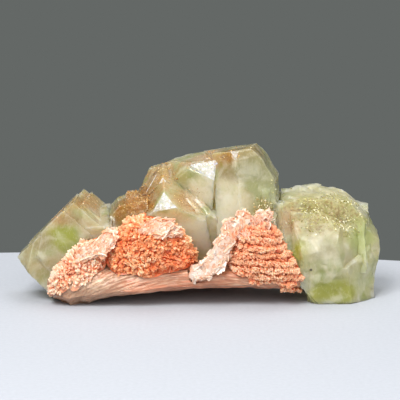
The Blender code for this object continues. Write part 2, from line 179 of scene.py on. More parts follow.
def add_piece(name, mesh, material, stands_for=()):
    """Links the mesh as a piece that rides on the specimen and takes the place of its solids."""
    piece = bpy.data.objects.new(name, mesh)
    bpy.context.scene.collection.objects.link(piece)
    mesh.materials.clear()
    mesh.materials.append(material)
    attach(piece, "root")
    if stands_for:
        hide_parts(*stands_for)
    print(name, len(mesh.polygons), "faces")
    return piece


# %% [markdown]
# ## Writing a shader as sums
#
# A shader is a graph of nodes. Wiring each Math node by hand hides what is worked out. Here a
# small class stands for one output, and Python's own operators add the nodes, so that
# `1 - mask * 0.5` is read as what it says. Every other node comes from one method.


# %% The shader writer
class Value:
    """One output in a shader. Operators on it add Math nodes."""

    def __init__(self, look, socket):
        self.look = look
        self.socket = socket

    def __add__(self, other):
        return self.look.maths("ADD", self, other)

    def __sub__(self, other):
        return self.look.maths("SUBTRACT", self, other)

    def __rsub__(self, other):
        return self.look.maths("SUBTRACT", other, self)

    def __mul__(self, other):
        return self.look.maths("MULTIPLY", self, other)

    __radd__ = __add__
    __rmul__ = __mul__

    def between(self, low, high):
        """0 below low, 1 above high, and an S-curve between. Low may be the larger one."""
        sockets = {"Value": self, "From Min": low, "From Max": high}
        how = {"interpolation_type": "SMOOTHSTEP"}
        return self.look.node("ShaderNodeMapRange", how, sockets, "Result")


class Look:
    """A material under construction. place is the position on the specimen in millimetres."""

    def __init__(self, name):
        self.material = bpy.data.materials.new(name)
        self.material.use_nodes = True
        self.tree = self.material.node_tree
        self.tree.nodes.clear()
        self.output = self.tree.nodes.new("ShaderNodeOutputMaterial")
        here = self.node("ShaderNodeTexCoord", output="Object")
        how = {"operation": "SCALE"}
        self.place = self.node("ShaderNodeVectorMath", how, {"Vector": here, "Scale": 1 / MM})

    def node(self, kind, settings=None, sockets=None, output=0):
        """Adds a node: its settings first, then its sockets, as values or links."""
        made = self.tree.nodes.new(kind)
        for name, value in (settings or {}).items():
            if name == "stops":
                ramp = made.color_ramp.elements
                for k, (at, colour) in enumerate(value):
                    stop = ramp[k] if k < 2 else ramp.new(at)
                    stop.position, stop.color = at, colour
            else:
                setattr(made, name, value)
        for name, value in (sockets or {}).items():
            if isinstance(value, Value):
                self.tree.links.new(value.socket, made.inputs[name])
            else:
                made.inputs[name].default_value = value
        return Value(self, made.outputs[output])

    def maths(self, operation, first, second):
        return self.node("ShaderNodeMath", {"operation": operation}, {0: first, 1: second})

    def mix(self, first, second, share):
        """The first colour where share is 0, the second where it is 1."""
        return self.node("ShaderNodeMix", {"data_type": "RGBA"}, {0: share, 6: first, 7: second}, 2)

    def noise(self, size, detail=3.0, rough=0.55, warp=0.0, place=None):
        """Noise from 0 to 1 whose features are about size millimetres across."""
        sockets = {"Vector": place or self.place, "Scale": 1 / size, "Detail": detail}
        sockets.update({"Roughness": rough, "Distortion": warp})
        return self.node("ShaderNodeTexNoise", {}, sockets, "Fac")

    def grains(self, size, output="Distance", feature="F1", place=None):
        """Cells of about size millimetres: distance to the nearest seed, or a colour per cell."""
        sockets = {"Vector": place or self.place, "Scale": 1 / size}
        return self.node("ShaderNodeTexVoronoi", {"feature": feature}, sockets, output)

    def stretched(self, stretch, turn=(0, 0, 0)):
        """The position turned, then divided by the stretch along each axis."""
        sockets = {"Vector": self.place, "Rotation": turn, "Scale": [1 / s for s in stretch]}
        return self.node("ShaderNodeMapping", {"vector_type": "POINT"}, sockets)

    def near(self, centre, radii, wobble):
        """1 at the centre of a soft-edged egg shape, 0 outside it."""
        away = self.node(
            "ShaderNodeVectorMath", {"operation": "SUBTRACT"}, {0: self.place, 1: centre}
        )
        away = self.node("ShaderNodeVectorMath", {"operation": "DIVIDE"}, {0: away, 1: radii})
        far = self.node("ShaderNodeVectorMath", {"operation": "LENGTH"}, {0: away}, "Value")
        return (far + wobble).between(1.15, 0.35)

    def attribute(self, name):
        return self.node("ShaderNodeAttribute", {"attribute_name": name}, {}, "Fac")

    def axis(self, letter):
        """The position along X, Y or Z in millimetres."""
        return self.node("ShaderNodeSeparateXYZ", {}, {"Vector": self.place}, letter)

    def ramp(self, level, stops):
        """A colour read from the stops, each a level from 0 to 1 and its colour."""
        return self.node("ShaderNodeValToRGB", {"stops": stops}, {"Fac": level}, "Color")

    def bump(self, height, depth, strength=1.0, over=None):
        """A normal roughened by height (0 to 1) times depth in millimetres."""
        sockets = {"Height": height, "Distance": depth * MM, "Strength": strength}
        if over:
            sockets["Normal"] = over
        return self.node("ShaderNodeBump", {}, sockets)

    def surface(self, **sockets):
        """The Principled surface. Names use _ for spaces."""
        named = {k.replace("_", " "): v for k, v in sockets.items()}
        shader = self.node("ShaderNodeBsdfPrincipled", {}, named)
        self.tree.links.new(shader.socket, self.output.inputs["Surface"])
        return self.material


def tint(red, green, blue):
    """A colour given as a screen shows it, 0 to 255, in the shader's linear numbers."""
    shown = np.array([red, green, blue]) / 255
    linear = np.where(shown <= 0.04045, shown / 12.92, ((shown + 0.055) / 1.055) ** 2.4)
    return (*linear.tolist(), 1.0)


# %% [markdown]
# ## Where the crystals change colour
#
# Real apophyllite is zoned: clear green where it grew cleanly, milky where it is full of tiny
# bubbles, and brown where iron settled on it. Those zones are soft clouds at known places, so
# they are written down as a few eggs: centre, radii, colour, how strong, and how gritty the
# surface is there. The same list drives the colour, the roughness and the grit further down.
# The near-white eggs on the lower front faces and in the crevices between the crystals are
# painted light, not zoning: a painted glow standing in for light that shines through the stone.

# %% Colour zones
MILKY, CREAM, BEIGE = tint(224, 218, 190), tint(250, 226, 184), tint(214, 194, 152)
GREEN, LIME, MOSS = tint(190, 196, 138), tint(176, 184, 66), tint(158, 160, 40)
# the near-white one at the end of the next line is a painted glow, not a colour of the stone
OLIVE, SMOKE, PAINTED_GLOW = tint(190, 178, 112), tint(200, 196, 160), tint(255, 244, 214)
LEAF, UMBER = tint(200, 208, 130), tint(186, 140, 84)
DUSK, BARK, CLOUD = tint(186, 164, 114), tint(158, 138, 90), tint(206, 198, 168)
SHADE, RESIN = tint(178, 176, 134), tint(156, 104, 36)
GOLD, TAN, RUST = tint(178, 116, 34), tint(206, 162, 104), tint(230, 192, 150)
ZONES = [
    # centre, radii, colour, strength, grit
    ((-40, -8, 20), (7, 14, 5), LIME, 0.95, 0.0),
    ((-47, -8, 9), (10, 14, 7), DUSK, 0.75, 0.0),
    ((-45, -4, 26), (15, 14, 4), UMBER, 0.8, 0.3),
    ((-32, 0, 29), (7, 14, 4), TAN, 0.8, 0.35),
    ((-31, -9, 22), (6, 8, 6), BEIGE, 0.85, 0.0),
    ((-49, -8, 19), (7, 14, 5), BARK, 0.65, 0.0),
    ((-38, -7, 30), (5, 12, 3), UMBER, 0.65, 0.25),
    ((-45, -8, 4), (8, 12, 4), PAINTED_GLOW, 0.6, 0.0),
    ((-22, -4, 25), (6, 14, 9), RESIN, 0.95, 0.5),
    ((-18, -4, 30), (8, 14, 10), GOLD, 1.0, 0.7),
    ((-12, 0, 37), (7, 14, 5), TAN, 0.8, 0.45),
    ((-2, -8, 20), (13, 9, 8), PAINTED_GLOW, 1.0, 0.0),
    ((-4, -7, 30), (7, 6, 6), TAN, 0.9, 0.45),
    ((-9, -11, 26), (5, 5, 4), CREAM, 0.9, 0.0),
    ((-6, -4, 42), (6, 10, 3), TAN, 0.8, 0.4),
    ((2, -8, 31), (4, 5, 4), PAINTED_GLOW, 0.9, 0.0),
    ((-6, -3, 37), (4, 6, 3), OLIVE, 0.7, 0.1),
    ((1, -1, 43), (9, 14, 3), RUST, 0.7, 0.4),
    ((0, -6, 33), (5, 6, 6), PAINTED_GLOW, 0.75, 0.0),
    ((7, -6, 42), (4, 7, 4), TAN, 0.7, 0.1),
    ((9, -8, 39), (5, 6, 5), BARK, 0.75, 0.0),
    ((21, -5, 38), (5, 12, 8), SHADE, 0.8, 0.0),
    ((14, -3, 44), (9, 14, 5), BARK, 0.85, 0.1),
    ((15, -7, 40), (6, 9, 5), SHADE, 0.85, 0.0),
    ((8, -8, 34), (5, 6, 4), PAINTED_GLOW, 0.6, 0.0),
    ((8, -7, 44), (4, 8, 3), GOLD, 0.5, 0.1),
    ((20, -5, 31), (5, 12, 6), GREEN, 0.7, 0.1),
    ((9, -9, 28), (7, 7, 6), PAINTED_GLOW, 0.75, 0.0),
    ((19, -7, 27), (5, 7, 5), OLIVE, 0.9, 0.55),
    ((37, -4, 26), (15, 10, 8), OLIVE, 0.8, 0.75),
    ((33, 8, 33), (11, 12, 4), SMOKE, 0.9, 0.05),
    ((49, 6, 29), (6, 12, 6), MILKY, 0.6, 0.0),
    ((26, -6, 24), (6, 7, 4), RUST, 0.7, 0.1),
    ((29, -9, 16), (5, 7, 4), LIME, 0.9, 0.1),
    ((49, -6, 19), (8, 10, 7), LEAF, 0.85, 0.0),
    ((37, -12, 16), (8, 7, 6), CLOUD, 0.85, 0.0),
    ((44, -9, 9), (5, 7, 4), SMOKE, 0.6, 0.0),
    ((38, -10, 4), (13, 14, 5), MOSS, 0.85, 0.0),
    ((49, -6, 7), (5, 12, 6), GREEN, 0.6, 0.0),
    ((10, 14, 30), (14, 8, 9), SMOKE, 0.7, 0.0),
    ((-10, 12, 22), (9, 8, 8), GREEN, 0.6, 0.0),
    ((38, 15, 14), (10, 7, 9), GREEN, 0.6, 0.1),
]
print("zones:", len(ZONES))


def grit_at(places):
    """How gritty the crystals are at each place: the largest of the zones' grit, each fading
    from its centre to its edge as in the shader."""
    most = np.zeros(len(places))
    for centre, radii, _, _, grit in ZONES:
        far = np.linalg.norm((places - centre) / radii, axis=1) + 0.25 * noise(places, 3.0, 5)
        most = np.maximum(most, grit * np.clip((1.15 - far) / 0.8, 0, 1))
    return most


# %% [markdown]
# ## Apophyllite
#
# The stone is between glass and milk. Light goes into it, is coloured a little, and comes back
# softened, while its cleaner faces still flash like a mirror. Transmission gives the clear part,
# subsurface scattering gives the milk, and plain absorption greens the thick parts. The zones
# mix the colour, and grit makes the surface rough and sparkling.


# %% The apophyllite finish
def apophyllite():
    look = Look("apophyllite")
    wobble = (look.noise(4.0, 5.0, 0.6) - 0.5) * 1.1
    colour = look.mix(tint(210, 200, 158), tint(188, 188, 136), look.noise(8.0).between(0.4, 0.6))
    # clouds of tiny bubbles, green patches, and pale veils where a crack healed
    cloud = look.noise(5.0, 4.0, 0.5, 0.5).between(0.48, 0.68)
    colour = look.mix(colour, tint(240, 234, 208), cloud * 0.55)
    moss = look.noise(5.5, 4.0, 0.5, 0.6, look.stretched((1, 1, 1.4))).between(0.54, 0.7)
    colour = look.mix(colour, tint(158, 168, 84), moss * 0.6)
    grit = 0.0
    for centre, radii, shade, strength, gritty in ZONES:
        mask = look.near(centre, radii, wobble)
        colour = look.mix(colour, shade, mask * strength)
        if gritty:
            grit = look.maths("MAXIMUM", mask * gritty, grit)
    clean = 1 - grit
    colour = look.mix(colour, tint(150, 160, 74), moss * clean * 0.3)
    colour = look.mix(colour, tint(250, 244, 222), cloud * clean * 0.35)
    planes = look.stretched((1.4, 1.4, 5.0), (0.1, 0.25, 0.0))
    veil = look.maths("ABSOLUTE", look.noise(1.8, 4.0, 0.55, 0.4, planes) - 0.5, 0.0)
    colour = look.mix(colour, tint(255, 250, 232), veil.between(0.02, 0.0) * clean * 0.14)
    mottle = look.noise(1.1, 4.0, 0.7)
    colour = look.mix(colour, tint(255, 248, 222), mottle.between(0.54, 0.7) * clean * 0.18)
    colour = look.mix(colour, tint(134, 112, 56), mottle.between(0.46, 0.3) * (grit * 0.4 + 0.12))
    # dark specks of iron and pale yellow specks in the gritty zones
    speck = look.grains(0.55, "Color")
    speck = look.node("ShaderNodeSeparateColor", {}, {"Color": speck}, "Red")
    dark = speck.between(0.62, 0.9) * grit
    colour = look.mix(colour, tint(150, 96, 38), dark * 0.7)
    pale = speck.between(0.3, 0.1) * grit
    colour = look.mix(colour, tint(250, 226, 170), pale * 0.35)
    # one black speck of ore in the right crystal
    ore = look.near((32.5, -13.0, 10.6), (0.55, 4.0, 0.5), 0.0)
    colour = look.mix(colour, tint(50, 44, 36), ore)
    # painted highlight: points on a sharp edge are painted paler, as if the ridges caught the light
    colour = look.mix(colour, tint(255, 250, 230), look.attribute("edge") * clean * 0.22)
    # painted reflection: the end faces are painted nearly white, standing in for the window light
    # they mirror, broken by etched flecks
    cap = look.attribute("end_face")
    fleck = look.noise(0.8, 4.0, 0.7).between(0.4, 0.6)
    colour = look.mix(colour, tint(252, 248, 250), cap * (fleck * 0.65 + 0.3))
    # fine lines where growth layers end
    lines = look.noise(0.7, 3.0, 0.6, place=look.stretched((1, 1, 7), (0.05, 0.1, 0.0)))
    pits = look.grains(0.5)
    normal = look.bump(lines, 0.12, 0.25)
    normal = look.bump(pits, 0.3, grit * 0.4 + 0.03, normal)
    normal = look.bump(fleck, 0.35, cap * 0.9, normal)
    grain = look.noise(0.8, 5.0, 0.7)
    normal = look.bump(grain, 0.2, (1 - cap) * 0.22, normal)
    frosted = look.axis("X").between(23.0, 27.0)  # the right crystal is etched and duller
    rough = look.noise(1.5, 4.0) * 0.18 + 0.05 + grit * 0.22 + cap * 0.08 + frosted * 0.26
    milk = look.node(
        "ShaderNodeVolumeAbsorption", {}, {"Color": tint(214, 222, 160), "Density": 14.0}, "Volume"
    )
    look.tree.links.new(milk.socket, look.output.inputs["Volume"])
    return look.surface(
        Base_Color=colour,
        Roughness=rough,
        Normal=normal,
        IOR=1.535,
        Coat_Weight=cap * (fleck * 0.6 + 0.1),
        Coat_Roughness=0.25,
        Transmission_Weight=0.42,
        Subsurface_Weight=0.8,
        Subsurface_Radius=(1.0, 0.9, 0.6),
        Subsurface_Scale=9.0 * MM,
    )


APOPHYLLITE = apophyllite()
print("apophyllite nodes:", len(APOPHYLLITE.node_tree.nodes))

# %% [markdown]
# ## Where pieces touch
#
# Some of each solid's surface lies against its neighbour, a third of a millimetre away. Nothing
# grows there. To find those places, points are spread evenly over all the other solids, the
# triangles getting points by their area, and space is cut into small cells: a place is covered
# when its cell holds some of another solid's points.

# %% Points on a surface
def triangles(node):
    """The corners of a node's triangles in millimetres, as (triangle, corner, axis)."""
    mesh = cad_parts[node].data
    places = np.array([v.co for v in mesh.vertices]) / MM
    index = np.array([p.vertices for p in mesh.polygons])
    return places[index]


def sprinkle(node, spacing, seed):
    """Random points on a node, one for each square of the given spacing, and their normals."""
    rng = np.random.default_rng(seed)
    a, b, c = np.moveaxis(triangles(node), 1, 0)
    across = np.cross(b - a, c - a)
    area = np.linalg.norm(across, axis=1) / 2
    pick = rng.choice(len(a), int(area.sum() / spacing**2), p=area / area.sum())
    u, v = rng.random((2, len(pick), 1))
    u, v = np.where(u + v > 1, 1 - u, u), np.where(u + v > 1, 1 - v, v)
    points = a[pick] + u * (b - a)[pick] + v * (c - a)[pick]
    return points, across[pick] / (2 * area[pick, None])


def keys(cells):
    """One whole number for each lattice cell, from its three."""
    c = cells.astype(np.int64) + 4096
    return (c[:, 0] * 8192 + c[:, 1]) * 8192 + c[:, 2]


GAP = 0.3  # clear space between two solids, mm
SKINS = {node: sprinkle(node, GAP / 2, 2)[0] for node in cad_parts}
print("points on the skins:", sum(len(skin) for skin in SKINS.values()))


def covered(points, out, node):
    """True where another solid lies on the node's surface: the point is moved out across the
    gap, and its small cell of space, or one beside it, holds some of the other surface."""
    others = [skin for n, skin in SKINS.items() if n != node]
    filled = np.unique(keys(np.floor(np.vstack(others) / GAP)))
    cell = np.floor((points + out * GAP) / GAP)
    steps = np.array(list(np.ndindex(3, 3, 3))) - 1
    return np.any([np.isin(keys(cell + step), filled) for step in steps], axis=0)


# %% [markdown]
# ## Crystal faces
#
# A crystal face is flat but never perfect. It is a mosaic of blocks that ended at slightly
# different heights, its edges are nicked, and etched patches are uneven. Every point of the
# refined solid is moved inwards along its normal by the sum of those three, so the crystals
# stay in their own space and the facets stay where they are. The right crystal is rounded and
# hollowed by etching as well, and so, a little, is the right end of the centre group.

# %% Grow the crystal surfaces
CRYSTALS = {
    "apophyllite_left_crystals": "left_crystals",
    "apophyllite_centre_crystals": "centre_crystals",
    "apophyllite_right_crystal": "right_crystal",
}
CRYSTAL_MESH = 0.8  # longest edge, mm
END_FACE = np.array([-0.165, -0.850, 0.5])  # which way the pearly end faces look
ETCHED = "apophyllite_right_crystal"  # this one is rounded and hollowed by etching
PARTLY_ETCHED = "apophyllite_centre_crystals"  # and the right end of this one
PARTLY = 0.6  # how much of the etching that end gets


def crystal_relief(places, edge):
    """How far inwards each point goes, in millimetres: blocks of the mosaic at random heights,
    fine unevenness that grows with grit, and nicks along the sharp edges."""
    _, border, height = lumps(places, 4.5, 3)
    blocks = 0.1 * height + 0.1 * np.clip(0.3 - border, 0, 0.3)
    fine = (0.035 + 0.1 * grit_at(places)) * (noise(places, 0.9, 7) + 1) / 2
    nicks = np.where(edge, 0.6 * np.clip(noise(places, 1.8, 9) + 0.2, 0, 1), 0)
    return blocks + fine + nicks


def etching(places):
    """The etched crystal's soft hollows and swellings: three sizes of noise, moving each point
    towards the crystal's heart and not along its face, so that thin steps keep their walls.
    They fade out just above the table."""
    depth = 0.25 + 0.8 * noise(places, 5.5, 14) + 0.3 * noise(places, 2.4, 15)
    depth = depth + 0.14 * noise(places, 1.2, 16)
    depth = depth * np.clip(places[:, 2] / 3.0, 0, 1)
    heart = places.mean(0)
    return depth[:, None] * unit(heart - places)


for node, name in CRYSTALS.items():
    shape = refined(node, CRYSTAL_MESH, 36.0 if node == ETCHED else 24.0)
    places, normals, edge = arrays(shape)
    faces_out = np.array([f.normal for f in shape.faces])
    middles = np.array([f.calc_center_median() for f in shape.faces]) / MM
    relief = crystal_relief(places, edge)
    # where two pieces meet, the surface closes half of the gap instead
    relief = np.where(covered(places, normals, node), -GAP / 2, relief)
    mesh = bpy.data.meshes.new(name)
    shape.to_mesh(mesh)
    shape.free()
    moved = places - normals * relief[:, None]
    if node == ETCHED:
        moved = moved + etching(places)
    elif node == PARTLY_ETCHED:
        rightness = np.clip((places[:, 0] - 7) / 4, 0, 1)
        highness = np.clip((places[:, 2] - 24) / 4, 0, 1)
        moved = moved + etching(places) * (PARTLY * rightness * highness)[:, None]
    mesh.vertices.foreach_set("co", (inside_box(moved) * MM).astype(np.float32).ravel())
    # which points lie on a sharp edge, for the painted highlight along the ridges
    store = mesh.attributes.new("edge", "FLOAT", "POINT")
    store.data.foreach_set("value", (edge & (node != ETCHED)).astype(np.float32))
    # which faces are the end faces, painted nearly white as a painted reflection
    store = mesh.attributes.new("end_face", "FLOAT", "FACE")
    is_end = (faces_out @ END_FACE > 0.99) & (middles[:, 2] > 24)
    is_end &= (middles[:, 0] < -7) | (middles[:, 2] > 32)
    store.data.foreach_set("value", is_end.astype(np.float32))
    mesh.polygons.foreach_set("use_smooth", [True] * len(mesh.polygons))
    mesh.update()
    add_piece(name, mesh, APOPHYLLITE, [node])

# %% [markdown]
# ## Spreading small crystals
#
# Grit and stilbite blades sit all over a surface. One small shape is copied to every point
# that was drawn on the surface, in a single array sum, and the whole becomes one mesh. Each
# copy's own axes are set by two directions: along which it grows, and across.


# %% Copies of a small form
def copies(form, faces, points, along, across, sizes):
    """The small form at every point: its z axis along, its x axis nearest to across, each axis
    times its size. Returns all corners in one array, and all faces."""
    z = unit(along)
    x = unit(across - z * np.sum(across * z, axis=1, keepdims=True))
    y = np.cross(z, x)
    scaled = form[None] * sizes[:, None, :]
    places = points[:, None] + scaled[..., :1] * x[:, None] + scaled[..., 1:2] * y[:, None]
    places = places + scaled[..., 2:] * z[:, None]
    start = np.arange(len(points)) * len(form)
    built = [(np.array(face)[None] + start[:, None]).tolist() for face in faces]
    return places.reshape(-1, 3), [f for group in built for f in group]


# %% [markdown]
# ## Grit
#
# The brown and olive zones glitter, because they are covered by tiny crystals that each face
# their own way. Eight-sided double pyramids are enough at this size: about half is buried,
# and its few faces flash one at a time as the specimen turns.


# %% The grit finish and its pieces
def grit_finish():
    look = Look("iron_grit")
    shade = look.attribute("shade")
    # a tone per grain at random; the near-white end of each ramp is a painted glint on the
    # sparkling grains
    stops = [
        (0.0, tint(150, 90, 34)),
        (0.35, tint(190, 130, 62)),
        (0.7, tint(214, 170, 96)),
        (1.0, tint(246, 226, 176)),
    ]
    brown = look.ramp(shade, stops)
    stops = [(0.0, tint(128, 122, 56)), (0.55, tint(204, 196, 128)), (1.0, tint(255, 252, 226))]
    # rusty on the left, greenish on the right
    colour = look.mix(brown, look.ramp(shade, stops), look.axis("X").between(8.0, 24.0))
    rough = look.noise(0.6) * 0.15 + 0.04
    return look.surface(Base_Color=colour, Roughness=rough, IOR=1.55, Coat_Weight=0.5)


GRIT = grit_finish()
OCTAHEDRON = np.array(
    [(1, 0, 0), (0, 1, 0), (-1, 0, 0), (0, -1, 0), (0, 0, 1), (0, 0, -1)], dtype=float
)
OCTAHEDRON_FACES = [(0, 1, 4), (1, 2, 4), (2, 3, 4), (3, 0, 4)]
OCTAHEDRON_FACES += [(1, 0, 5), (2, 1, 5), (3, 2, 5), (0, 3, 5)]


def numpy_mesh(name, places, faces, **values):
    """A mesh from arrays in millimetres, with a number per point for each named value."""
    mesh = bpy.data.meshes.new(name)
    mesh.from_pydata((inside_box(places) * MM).tolist(), [], faces)
    for key, numbers in values.items():
        store = mesh.attributes.new(key, "FLOAT", "POINT")
        store.data.foreach_set("value", np.asarray(numbers, np.float32))
    mesh.update()
    return mesh


GRIT_SPACING = 0.42  # mm
for k, (node, name) in enumerate(CRYSTALS.items()):
    rng = np.random.default_rng(20 + k)
    points, normals = sprinkle(node, GRIT_SPACING, 30 + k)
    keep = rng.random(len(points)) < grit_at(points) ** 1.5
    keep &= ~covered(points, normals, node)
    points, normals = points[keep], normals[keep]
    count = len(points)
    size = 0.14 + 0.2 * rng.random((count, 1)) ** 2
    tilt = unit(normals + 0.5 * rng.normal(size=(count, 3)))
    sizes = size * (0.75 + 0.5 * rng.random((count, 3)))
    buried = points - normals * (0.16 + size * 0.35)
    places, faces = copies(
        OCTAHEDRON, OCTAHEDRON_FACES, buried, tilt, rng.normal(size=(count, 3)), sizes
    )
    mesh = numpy_mesh(name + "_grit", places, faces, shade=np.repeat(rng.random(count), 6))
    add_piece(name + "_grit", mesh, GRIT)

# %% [markdown]
# ## Stilbite crusts
#
# Stilbite grows as sheaves of thin blades, and here only their ends show, like the cut end of
# a stack of cards. From a step away that is a rough, granular mass with deep orange gaps.
# Small blades with a pointed end are set in tufts: each blade leans away from its tuft's root,
# and gets shorter towards the tuft's border. A lumpy bed under them closes the gaps.


# %% The stilbite finishes
def stilbite(name, deep, middle, tip):
    """Peach stilbite: dark deep orange in the gaps and low on the blades as painted shade, pale at
    the blade ends, different from blade to blade.
    """
    look = Look(name)
    height, shade = look.attribute("height"), look.attribute("shade")
    level = height * 0.62 + shade * 0.34 + (look.noise(5.0) - 0.5) * 0.4
    stops = [(0.12, deep), (0.46, middle), (0.95, tip)]
    colour = look.ramp(level, stops)
    colour = look.mix(colour, tint(206, 84, 46), look.noise(2.6, 3.0).between(0.54, 0.7) * 0.4)
    fiery = look.near((-8, -16, 12), (10, 9, 7), look.noise(3.0) - 0.5)
    colour = look.mix(colour, tint(226, 98, 50), fiery * 0.5)
    normal = look.bump(look.noise(0.25, 2.0), 0.08, 0.4)
    return look.surface(
        Base_Color=colour,
        Roughness=look.noise(0.8) * 0.25 + 0.28,
        Normal=normal,
        IOR=1.5,
        Subsurface_Weight=0.35,
        Subsurface_Radius=(1.0, 0.45, 0.25),
        Subsurface_Scale=1.2 * MM,
    )


ORANGE = stilbite("stilbite_orange", tint(204, 74, 34), tint(248, 154, 100), tint(255, 218, 176))
PEACH = stilbite("stilbite_peach", tint(206, 84, 50), tint(242, 154, 110), tint(255, 214, 178))
PINK = stilbite("stilbite_pink", tint(222, 110, 72), tint(252, 190, 152), tint(255, 236, 214))

# %% Blades in tufts
BLADE = np.array(
    [
        (-0.4, -0.5, 0.0),
        (0.4, -0.5, 0.0),
        (0.4, 0.5, 0.0),
        (-0.4, 0.5, 0.0),
        (-0.5, -0.5, 0.68),
        (0.5, -0.5, 0.68),
        (0.5, 0.5, 0.68),
        (-0.5, 0.5, 0.68),
        (0.0, -0.4, 1.0),
        (0.0, 0.4, 1.0),
    ]
)
BLADE_FACES = [(3, 2, 1, 0), (0, 1, 5, 4), (1, 2, 6, 5), (2, 3, 7, 6), (3, 0, 4, 7)]
BLADE_FACES += [(4, 5, 8), (6, 7, 9), (5, 6, 9, 8), (7, 4, 8, 9)]
TUFT = 3.3  # from one tuft to the next, mm
BED_DEPTH = 0.9  # how far the bed lies under the solid's surface, mm


def rows_at(points, row):
    """0 in the gap between two rows of blades to 1 in the middle of a row: a sine of the
    height above the table, with a tilt that turns from left to right."""
    tilt = points[:, 2] + 0.004 * (points[:, 0] - 12) ** 2
    place = tilt / row + 0.34 * noise(points, 3.5, 21)
    return np.clip(1.5 * np.sin(math.pi * (place % 1.0)) - 0.1, 0, 1)


def domes(points, row, seed):
    """Where a point lies in its tuft: the tuft's root, a number per tuft, and its height from
    0 in the crevice round it to 1 on top, which also falls between two rows."""
    root, border, number = lumps(points, TUFT, seed)
    dome = np.clip(border / 1.5, 0, 1)
    if row:
        dome = (dome * 0.3 + 0.7) * rows_at(points, row)
    return root, number, dome


def crust(node, name, material, spacing, seed, row=0.0):
    """The bed, a finer copy of the solid sunk between its tufts, and the blades on it, joined."""
    shape = refined(node, 0.8, 60.0)
    places, normals, _ = arrays(shape)
    free = ~covered(places, normals, node)
    _, _, dome = domes(places, row, seed)
    sink = np.where(free, BED_DEPTH * (1.6 - dome) + 0.2 * noise(places, 1.0, seed), 0.0)
    places = places - normals * sink[:, None]
    bed = [[v.index for v in f.verts] for f in shape.faces]
    shape.free()
    # the bed is painted darker where it sinks between the tufts: painted shade in the crevices
    bed_height = 0.1 + 0.3 * dome + 0.12 * (noise(places, 0.8, seed) + 1)

    rng = np.random.default_rng(seed)
    points, out = sprinkle(node, spacing, seed + 1)
    root, number, dome = domes(points, row, seed)
    keep = ~covered(points, out, node) & (dome > (0.3 if row else 0.16))
    points, out, root, number, dome = (v[keep] for v in (points, out, root, number, dome))
    count = len(points)
    lean = unit(points - root) * (0.3 if row else 0.75) + out * 1.2
    lean = lean + 0.2 * rng.normal(size=(count, 3))
    turn = np.stack([np.cos(number * 9), np.sin(number * 7), np.sin(number * 5 + 1)], 1)
    across = turn + 0.25 * rng.normal(size=(count, 3))
    size = (0.8 if row else 1.0) * (0.65 + 0.75 * rng.random(count) ** 1.5)
    length = (1.0 + 0.7 * dome) * size
    sizes = np.stack([0.95 * size, 0.4 * size, length], 1)
    reach = BED_DEPTH * (1.3 - 1.2 * dome) - 0.1
    start = points - out * (reach + 0.5 * length)[:, None]
    blades_at, blades = copies(BLADE, BLADE_FACES, start, lean, across, sizes)
    blades = [[i + len(places) for i in f] for f in blades]
    # each blade is darker low down and at a tuft's border: painted shade between the blades
    height = np.tile(BLADE[:, 2], count) * np.repeat(0.35 + 0.65 * dome, len(BLADE))
    shade = np.repeat(0.5 * number + 0.5 * rng.random(count), len(BLADE))
    mesh = numpy_mesh(
        name,
        np.vstack([places, blades_at]),
        bed + blades,
        height=np.concatenate([bed_height, height]),
        shade=np.concatenate([np.full(len(places), 0.25), shade]),
    )
    print(name, "blades:", count)
    return add_piece(name, mesh, material, [node])


crust("stilbite_crust_left", "crust_left", PINK, 0.46, 41)
crust("stilbite_crust_centre", "crust_centre", ORANGE, 0.46, 42)
crust("stilbite_crust_right", "crust_right", PEACH, 0.36, 43, row=2.1)
crust("stilbite_crust_back", "crust_back", PINK, 0.52, 44)

# %% [markdown]
# ## Pearly blades
#
# Between the crusts a few sheaves are seen from the side, and their broad faces shine like
# mother-of-pearl. They are the same blades made larger and laid almost flat, like shingles,
# over the blades of the solid.


# %% The pearly finish and its pieces
def pearly():
    look = Look("stilbite_pearl")
    shade, height = look.attribute("shade"), look.attribute("height")
    stops = [(0.1, tint(232, 136, 92)), (0.46, tint(246, 194, 160)), (0.95, tint(255, 236, 220))]
    bright = look.near((3, -15, 12), (9, 9, 9), 0.0)
    level = shade * 0.5 + height * 0.22 + (look.noise(2.5) - 0.5) * 0.6 + 0.08 + bright * 0.22
    colour = look.ramp(level, stops)
    normal = look.bump(look.noise(0.35, 2.0), 0.05, 0.4)
    return look.surface(
        Base_Color=colour,
        Roughness=look.noise(0.9) * 0.22 + 0.18,
        Normal=normal,
        Coat_Weight=0.4,
        Coat_Roughness=0.15,
        Subsurface_Weight=0.4,
        Subsurface_Radius=(1.0, 0.6, 0.45),
        Subsurface_Scale=1.5 * MM,
    )


